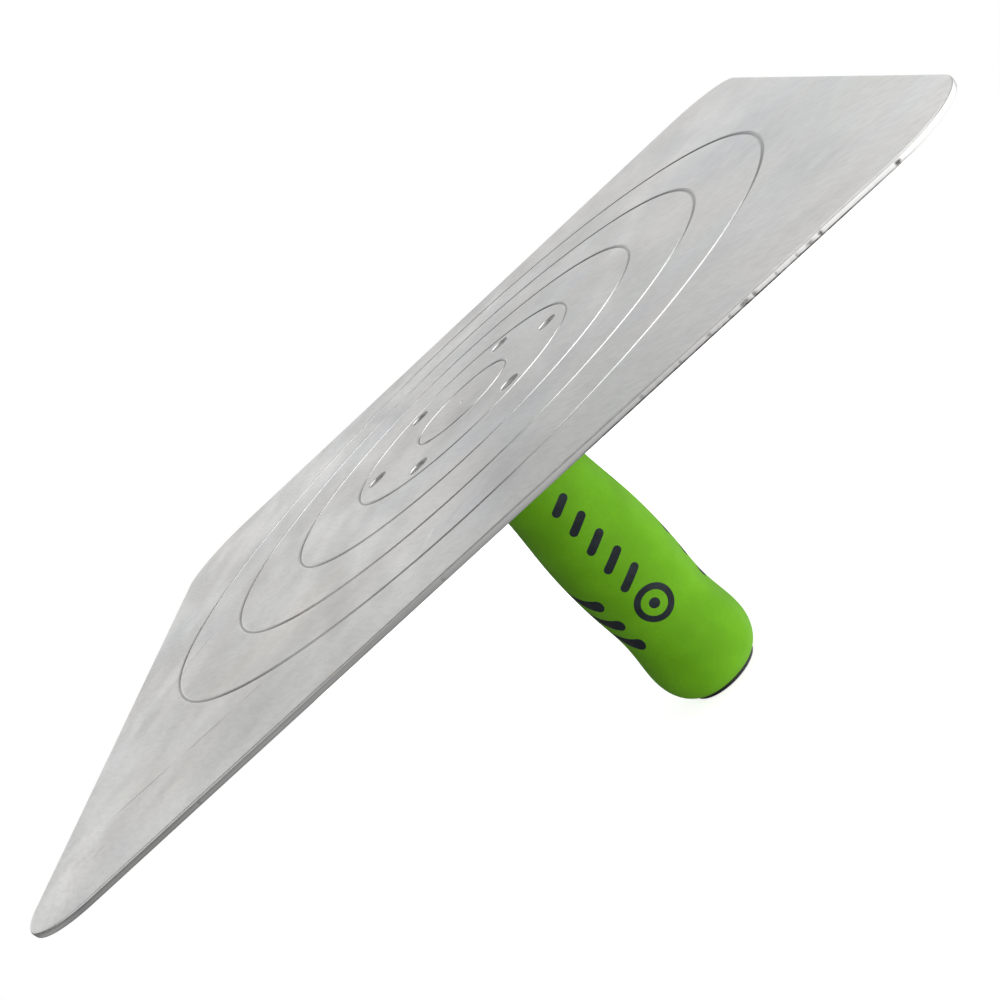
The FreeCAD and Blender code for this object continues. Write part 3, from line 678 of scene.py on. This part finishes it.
def rim_tone(g, tone, x, z, radius):
    """Worn rim: bare, darker where it is handled, painted shade on the left, and dark crust with painted
    shade in the nicks.
    """
    up = g.axes(g.node("ShaderNodeNewGeometry").outputs["Normal"])[2]
    outside = g.band(radius, *RIM_START_MM)
    rim = g.product(g.band(g.math("ABSOLUTE", up), *RIM_NORMAL), outside)
    handled = g.product(g.spot(*HANDLED_PATCH_MM, hard=0.3), HANDLED_SHARE)
    tone = g.blend(g.product(rim, RIM_SHARE), tone, g.blend(handled, BARE_RIM, HANDLED_RIM))

    # Painted shade on the left of the rim's side
    left_shade = g.product(g.band(z, *LEFT_RIM_SHADE_TOP_MM), g.band(z, *LEFT_RIM_SHADE_FOOT_MM), rim)
    left_shade = g.product(left_shade, g.band(x, *LEFT_RIM_SHADE_SIDE_MM, 0.0, LEFT_RIM_SHADE_SHARE))
    tone = g.blend(left_shade, tone, LEFT_RIM_SHADE)

    crust = g.product(g.band(z, *CRUST_TOP_MM), g.band(up, *CRUST_FACING), outside)
    crust = g.product(crust, g.band(g.cloud(2.2, 9.0, 3.0), 0.25, 0.6, 0.55, 1.0))
    thick = g.product(g.spot(*CRUST_PATCH_MM, hard=0.5), 1.0 - CRUST_LEAST)
    crust = g.product(crust, g.math("ADD", CRUST_LEAST, thick))

    # Painted shade in the nicks, in place of the depth that is not made as shape
    nick_shades = []
    for place, half_length, depth in NICKS_MM:
        nick_spot = g.spot(place, FRONT_EDGE_MM, half_length, NICK_SHADE_REACH_MM, hard=0.3)
        nick_shades.append(g.product(nick_spot, min(1.0, NICK_SHADE_DARKNESS * depth)))
    nick_shaded = g.product(g.largest(nick_shades), rim, g.band(z, *NICK_SHADE_TOP_MM))
    nick_shaded = g.product(nick_shaded, g.band(g.cloud(0.8, 17.0, 2.0), 0.35, 0.6, 0.5, 1.0))
    # Dark crust and the painted shade in the nicks, laid over the rim
    return g.blend(g.product(g.largest([crust, nick_shaded]), CRUST_AND_NICK_SHADE_SHARE), tone, CRUST_AND_NICK_SHADE)


def plate_finish():
    """Mill-finish aluminium: cloudy, smeared along the rolling direction, scratched, worn at its rim, with
    painted sheen and shade.
    """
    g = Finish("aluminium_plate", 1.0)
    grain = g.cloud((0.5, 34.0, 8.0), 5.0, 2.0, 0.5)
    fine = fine_scratches(g)
    deep = deep_scratches(g)
    tone = smear_and_sheen_tone(g, mill_tone(g))
    tone = g.blend(g.product(fine, FINE_SHARE), tone, FINE_SCRATCH)
    tone = g.blend(g.product(deep, DEEP_SHARE), tone, DEEP_SCRATCH)
    tone = g.blend(g.product(grain, GRAIN_SHARE), tone, GRAIN)

    x, y, z = g.axes(g.place())
    radius = g.math("SQRT", g.math("ADD", g.product(x, x), g.product(y, y)))
    # Painted shade in the ring grooves, laid over the sheet's tone
    tone = g.blend(g.product(groove_shade(g, x, y, z, radius), GROOVE_SHADE_SHARE), tone, GROOVE_SHADE)
    g.color(rim_tone(g, tone, x, z, radius))

    smear = g.cloud((20.0, 44.0, 30.0), 7.0, 2.0, 0.5)
    g.rough(g.math("ADD", g.band(smear, 0.3, 0.75, *ROUGHNESS), g.product(fine, SCRATCH_ROUGHNESS)))
    g.bump((grain, 0.0012), (deep, 0.05), (g.cloud(38.0, 8.0, 1.0), 0.05))
    return g.material


def rivet_finish():
    """Driven aluminium rivets: duller than the sheet and darker all over, partly as painted shade of their
    dished heads.
    """
    g = Finish("aluminium_rivets", 1.0)
    wide = g.cloud(2.2, 1.0, 3.0)
    # Darker tones, partly painted shade of the dished heads
    tone = g.blend(g.band(wide, 0.35, 0.65), (0.27, 0.27, 0.27, 1.0), (0.44, 0.44, 0.43, 1.0))
    g.color(tone)
    g.rough(g.band(wide, *NOISE_MIDDLE, 0.50, 0.65))
    g.bump((g.cloud(0.6, 2.0, 2.0), 0.03))
    return g.material


def cast_finish():
    """Die-cast aluminium: fine grain, shallow pits and darker, duller patches."""
    g = Finish("cast_aluminium", 1.0)
    wide = g.cloud(18.0, 1.0, 4.0)
    grain = g.cloud(0.9, 2.0, 3.0, 0.6)
    pits = g.band(g.cloud(2.6, 3.0, 2.0), 0.64, 0.74)
    tone = g.blend(g.band(wide, *NOISE_MIDDLE), (0.40, 0.405, 0.41, 1.0), (0.56, 0.56, 0.555, 1.0))
    tone = g.blend(g.product(pits, 0.5), tone, (0.20, 0.20, 0.20, 1.0))
    g.color(tone)
    g.rough(g.band(wide, *NOISE_MIDDLE, 0.58, 0.46))
    g.bump((grain, 0.05), (pits, -0.08))
    return g.material


def grip_finish():
    """Soft green moulded rubber: matt skin, faint mottling, rubbed patches and a few scuffs."""
    g = Finish("green_rubber", 0.0, {"Specular IOR Level": 0.12})
    mottle = g.cloud(16.0, 1.0, 3.0)
    speck = g.cloud(0.9, 2.0, 2.0, 0.6)
    base = g.blend(g.band(mottle, *NOISE_MIDDLE), (0.162, 0.458, 0.011, 1.0), (0.191, 0.536, 0.015, 1.0))
    base = g.blend(g.band(speck, 0.4, 0.7, 0.0, 0.18), base, (0.120, 0.360, 0.012, 1.0))
    scuffs = g.scratches(5.0, 0.5, 30.0, 3.0, 0.70, 0.78)
    scuffs = g.product(scuffs, g.band(g.cloud(9.0, 4.0, 1.0), 0.5, 0.62))
    base = g.blend(g.product(scuffs, 0.35), base, (0.34, 0.52, 0.18, 1.0))
    g.color(base)
    g.rough(g.band(g.cloud(11.0, 5.0, 3.0), *NOISE_MIDDLE, 0.62, 0.50))
    g.bump((speck, 0.035), (g.cloud(0.35, 6.0, 2.0), 0.012), (scuffs, -0.04))
    return g.material


def inlay_finish(name, seed):
    """Dark blue-grey rubber of the inlays and the mark."""
    g = Finish(name, 0.0, {"Specular IOR Level": 0.20})
    mottle = g.cloud(5.0, seed, 3.0)
    speck = g.cloud(0.6, seed + 1.0, 2.0, 0.6)
    base = g.blend(g.band(mottle, *NOISE_MIDDLE), (0.014, 0.020, 0.024, 1.0), (0.024, 0.033, 0.038, 1.0))
    g.color(base)
    g.rough(g.band(mottle, *NOISE_MIDDLE, 0.6, 0.48))
    g.bump((speck, 0.02))
    return g.material


def core_finish():
    """Black moulded plastic with a spark-eroded grain."""
    g = Finish("black_plastic", 0.0, {"Specular IOR Level": 0.4})
    wide = g.cloud(9.0, 1.0, 3.0)
    grain = g.cloud(0.4, 2.0, 3.0, 0.6)
    g.color(g.blend(g.band(wide, *NOISE_MIDDLE), (0.008, 0.008, 0.009, 1.0), (0.016, 0.016, 0.017, 1.0)))
    g.rough(g.band(wide, *NOISE_MIDDLE, 0.5, 0.38))
    g.bump((grain, 0.02))
    return g.material


def zinc_finish():
    """Zinc-plated steel, faintly mottled, with turning marks."""
    g = Finish("zinc_steel", 1.0)
    wide = g.cloud(4.0, 1.0, 3.0)
    turning = g.cloud((0.35, 0.35, 6.0), 2.0, 1.0)
    g.color(g.blend(g.band(wide, *NOISE_MIDDLE), (0.52, 0.55, 0.58, 1.0), (0.66, 0.66, 0.62, 1.0)))
    g.rough(g.band(wide, *NOISE_MIDDLE, 0.28, 0.40))
    g.bump((turning, 0.01))
    return g.material


def nylon_finish():
    """Dyed nylon ring of the lock nut."""
    g = Finish("blue_nylon", 0.0)
    wide = g.cloud(3.0, 1.0, 3.0)
    g.color(g.blend(g.band(wide, *NOISE_MIDDLE), (0.05, 0.12, 0.34, 1.0), (0.07, 0.17, 0.44, 1.0)))
    g.rough(g.band(wide, *NOISE_MIDDLE, 0.45, 0.35))
    g.bump((g.cloud(0.5, 2.0, 2.0), 0.02))
    return g.material


def floor_finish():
    """Pale matt studio paper with a glow of its own, so that it stays white."""
    g = Finish("studio_paper", 0.0, {"Roughness": 0.9, "Emission Strength": FLOOR_GLOW})
    tone = g.blend(g.cloud(3.0, 1.0, 3.0), (0.90, 0.90, 0.90, 1.0), (0.93, 0.93, 0.93, 1.0))
    g.color(tone)
    g.shader.inputs["Emission Color"].default_value = (1.0, 1.0, 1.0, 1.0)
    return g.material


# --------------------------------------------------------------------------------------------------
# Camera, light and floor
# --------------------------------------------------------------------------------------------------

# Camera: place and aim in metres, roll in degrees, lens in millimetres, shift in shares of the frame
CAMERA_PLACE = Vector((0.0679, -0.5078, 0.0861))
CAMERA_AIM = Vector((0.0199, 0.0, -0.0415))
CAMERA_ROLL = -43.83
CAMERA_LENS = 52.87
CAMERA_SHIFT = (-0.082, -0.054)

# Floor: radius in metres, points around it, and the strength of its glow
FLOOR_RADIUS = 0.46
FLOOR_SEGMENTS = 96
FLOOR_GLOW = 0.75

# Brightness of the low surround by azimuth, in degrees from +X towards +Y
SURROUND = [
    (-180.0, 0.40),
    (-160.0, 0.40),
    (-142.0, 0.34),
    (-122.0, 0.10),
    (-100.0, 0.74),
    (-77.0, 1.34),
    (-50.0, 1.44),
    (44.0, 1.30),
    (62.0, 0.25),
    (98.0, 0.18),
    (135.0, 0.06),
    (155.0, 0.34),
    (180.0, 0.40),
]

# Darker part of the surround on the left, above the horizon: its reach along X and upwards, and how much
# is lost
DIM_SIDE = (-0.50, -0.75)
DIM_START = (-0.04, 0.08)
DIM_SHARE = 0.75

# The upper surround: where it begins, as the sine of the elevation; its light behind; its light in the
# middle and at the sides of the front; where the front begins; and the middle and reach of the sides
UPPER_START = (0.38, 0.50)
UPPER_BEHIND = 0.08
UPPER_FRONT = (0.30, 0.90)
UPPER_TURN = (0.30, 0.00)
UPPER_MIDDLE = -0.08
UPPER_SIDES = (0.06, 0.36)

# Soft patch high on the left: its reach along X, along Y and upwards, and its light
HIGH_SIDE = (-0.40, -0.52)
HIGH_BACK = (0.58, 0.48)
HIGH_START = (0.52, 0.64)
HIGH_LIGHT = 1.0

# Light that comes up from below: where it begins, the side it comes from, how far round it reaches, and
# its light
LOWER_START = (-0.25, -0.50)
LOWER_SIDE = (0.985, -0.174, 0.0)
LOWER_REACH = (-0.40, 0.75)
LOWER_LIGHT = (0.16, 1.40)

# Pale wall behind the object, which the plate's face reflects: its top and foot, as the sine of the
# elevation; its two sides and their fade, in degrees; its light, and how that changes upwards
WALL_TOP = (0.46, 0.37)
WALL_FOOT = (-0.14, -0.04)
WALL_SIDES = (70.0, 132.0, 10.0)
WALL_LIGHT = 1.135
WALL_SLOPE = (0.25, 0.11, -0.10, 0.22)

# Soft bands of that wall, leaning and widening upwards: azimuth and half width in degrees where they
# start, and strength
STRIPS = [
    (99.3, 1.2, -0.36),
    (105.4, 1.0, 0.18),
    (89.5, 1.8, -0.04),
    (76.0, 7.0, -0.22),
    (111.0, 2.5, -0.12),
    (123.0, 3.5, 0.04),
]
STRIP_START = 0.13
STRIP_LEAN = -36.0
STRIP_SPREAD = 26.0
STRIP_NARROWEST = 0.5

# Round soft key light: direction in degrees, distance and diameter in metres, power in watts
KEY_AZIMUTH = 53.0
KEY_ELEVATION = 54.0
KEY_DISTANCE = 1.1
KEY_SIZE = 0.9
KEY_POWER = 4.8


def make_camera():
    """Camera just above the plate's near edge and rolled, as in a close view of a hand-held tool."""
    data = bpy.data.cameras.new("camera")
    data.sensor_width = 36.0
    data.lens = CAMERA_LENS
    data.shift_x, data.shift_y = CAMERA_SHIFT
    data.clip_start = 0.02
    camera = bpy.data.objects.new("camera", data)
    bpy.context.scene.collection.objects.link(camera)
    level = (CAMERA_AIM - CAMERA_PLACE).to_track_quat("-Z", "Y").to_matrix().to_4x4()
    roll = Matrix.Rotation(math.radians(CAMERA_ROLL), 4, "Z")
    camera.matrix_world = Matrix.Translation(CAMERA_PLACE) @ level @ roll
    bpy.context.scene.camera = camera


def area_light(name, azimuth, elevation, distance, size, power):
    """Round soft light aimed at the origin; azimuth is counted from +X towards +Y."""
    data = bpy.data.lights.new(name, "AREA")
    data.shape = "DISK"
    data.size = size
    data.energy = power
    light = bpy.data.objects.new(name, data)
    light.visible_camera = False
    bpy.context.scene.collection.objects.link(light)
    a, e = math.radians(azimuth), math.radians(elevation)
    towards = Vector((math.cos(a) * math.cos(e), math.sin(a) * math.cos(e), math.sin(e)))
    light.location = distance * towards
    light.rotation_euler = (-light.location).to_track_quat("-Z", "Y").to_euler()


def side_light(g, azimuth, x, z):
    """Light of the surround near the horizon."""
    light = g.ramp(azimuth, SURROUND)
    dim = g.product(g.band(x, *DIM_SIDE), g.band(z, *DIM_START))
    return g.without(light, dim, DIM_SHARE)


def upper_light(g, x, y, z):
    """Light of the surround overhead."""
    aside = g.math("ABSOLUTE", g.math("SUBTRACT", x, UPPER_MIDDLE))
    front = g.math("SUBTRACT", g.band(aside, *UPPER_SIDES, *UPPER_FRONT), UPPER_BEHIND)
    upper = g.math("ADD", UPPER_BEHIND, g.product(g.band(y, *UPPER_TURN), front))
    high = g.product(g.band(x, *HIGH_SIDE), g.band(y, *HIGH_BACK), g.band(z, *HIGH_START), HIGH_LIGHT)
    return g.largest([upper, high])


def wall_light(g, azimuth, z):
    """Light of the wall behind the object, with its bands."""
    light = g.math("ADD", WALL_LIGHT, g.band(z, *WALL_SLOPE))
    rise = g.math("SUBTRACT", z, STRIP_START)
    leaned = g.math("SUBTRACT", azimuth, g.product(rise, STRIP_LEAN))
    widening = g.math("ADD", 1.0, g.product(rise, STRIP_SPREAD))
    widening = g.largest([widening, STRIP_NARROWEST])
    for place, half_width, strength in STRIPS:
        away = g.math("ABSOLUTE", g.math("SUBTRACT", leaned, place))
        reach = g.product(widening, half_width * 2.0)
        light = g.math("ADD", light, g.band(away, reach, 0.0, 0.0, strength))
    return light


def wall_shape(g, azimuth, z):
    """Where the wall is, with soft sides, top and foot."""
    first, last, fade = WALL_SIDES
    inside = g.product(g.band(azimuth, first - fade, first), g.band(azimuth, last + fade, last))
    return g.product(inside, g.band(z, *WALL_TOP), g.band(z, *WALL_FOOT))


def make_world():
    """Soft studio surround: the light on the object has a bright and a dark side; the backdrop is white."""
    world = bpy.data.worlds.new("studio")
    world.use_nodes = True
    g = Graph(world.node_tree)
    direction = g.node("ShaderNodeTexCoord").outputs["Generated"]
    x, y, z = g.axes(direction)
    azimuth = g.math("DEGREES", g.math("ARCTAN2", y, x))

    light = side_light(g, azimuth, x, z)
    light = g.between(g.band(z, *UPPER_START), light, upper_light(g, x, y, z))
    inputs = {0: direction, 1: LOWER_SIDE}
    towards = g.node("ShaderNodeVectorMath", inputs, operation="DOT_PRODUCT").outputs["Value"]
    lower = g.band(towards, *LOWER_REACH, *LOWER_LIGHT)
    light = g.between(g.band(z, *LOWER_START), light, lower)
    light = g.between(wall_shape(g, azimuth, z), light, wall_light(g, azimuth, z))

    surround = world.node_tree.nodes["Background"]
    g.feed(surround.inputs["Strength"], light)
    surround.inputs["Color"].default_value = (1.0, 1.0, 1.0, 1.0)
    backdrop = g.node("ShaderNodeBackground", {"Color": (1.0, 1.0, 1.0, 1.0), "Strength": 1.0})
    seen = g.node("ShaderNodeLightPath").outputs["Is Camera Ray"]
    inputs = {0: seen, 1: surround.outputs[0], 2: backdrop.outputs[0]}
    mixed = g.node("ShaderNodeMixShader", inputs)
    g.feed(world.node_tree.nodes["World Output"].inputs["Surface"], mixed.outputs[0])
    bpy.context.scene.world = world
    bpy.context.scene.view_settings.view_transform = "Standard"


def make_floor(z):
    """Round sheet of paper that the handle stands on."""
    bm = bmesh.new()
    points = []
    for index in range(FLOOR_SEGMENTS):
        angle = math.tau * index / FLOOR_SEGMENTS
        place = (FLOOR_RADIUS * math.cos(angle), FLOOR_RADIUS * math.sin(angle), z)
        points.append(bm.verts.new(place))
    bm.faces.new(points)
    data = bpy.data.meshes.new("floor")
    bm.to_mesh(data)
    bm.free()
    data.materials.append(floor_finish())
    floor = bpy.data.objects.new("floor", data)
    floor.visible_diffuse = False
    floor.visible_glossy = False
    bpy.context.scene.collection.objects.link(floor)


# --------------------------------------------------------------------------------------------------
# Assembly
# --------------------------------------------------------------------------------------------------

def make_plate(finish):
    """The sheet, in place of its CAD node."""
    low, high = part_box("plate")
    sheet = bpy.data.objects.new("plate_sheet", PlateMesh(low, high).build("plate_sheet"))
    bpy.context.scene.collection.objects.link(sheet)
    sheet.data.materials.append(finish)
    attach(sheet, "root")
    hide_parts("plate")


def dress_nodes(finish):
    """Gives every CAD node its material; the plate's is handed in."""
    finishes = {
        "plate": finish,
        "plate_rivets": rivet_finish(),
        "mounting_flange": cast_finish(),
        "grip_sleeve": grip_finish(),
        "grip_marking": inlay_finish("mark_rubber", 1.0),
        "handle_core": core_finish(),
        "lock_nut_insert": nylon_finish(),
    }
    finishes["end_cap"] = finishes["handle_core"]
    zinc = zinc_finish()
    for name in ("handle_bolt", "flat_washer", "spring_washer", "lock_nut"):
        finishes[name] = zinc
    rubber = inlay_finish("inlay_rubber", 5.0)
    for name, node in nodes.items():
        node.data.materials.clear()
        node.data.materials.append(finishes.get(name, rubber))


plate_metal = plate_finish()
make_plate(plate_metal)
dress_nodes(plate_metal)
make_camera()
make_world()
area_light("key_light", KEY_AZIMUTH, KEY_ELEVATION, KEY_DISTANCE, KEY_SIZE, KEY_POWER)
make_floor(cad_box[0].z)
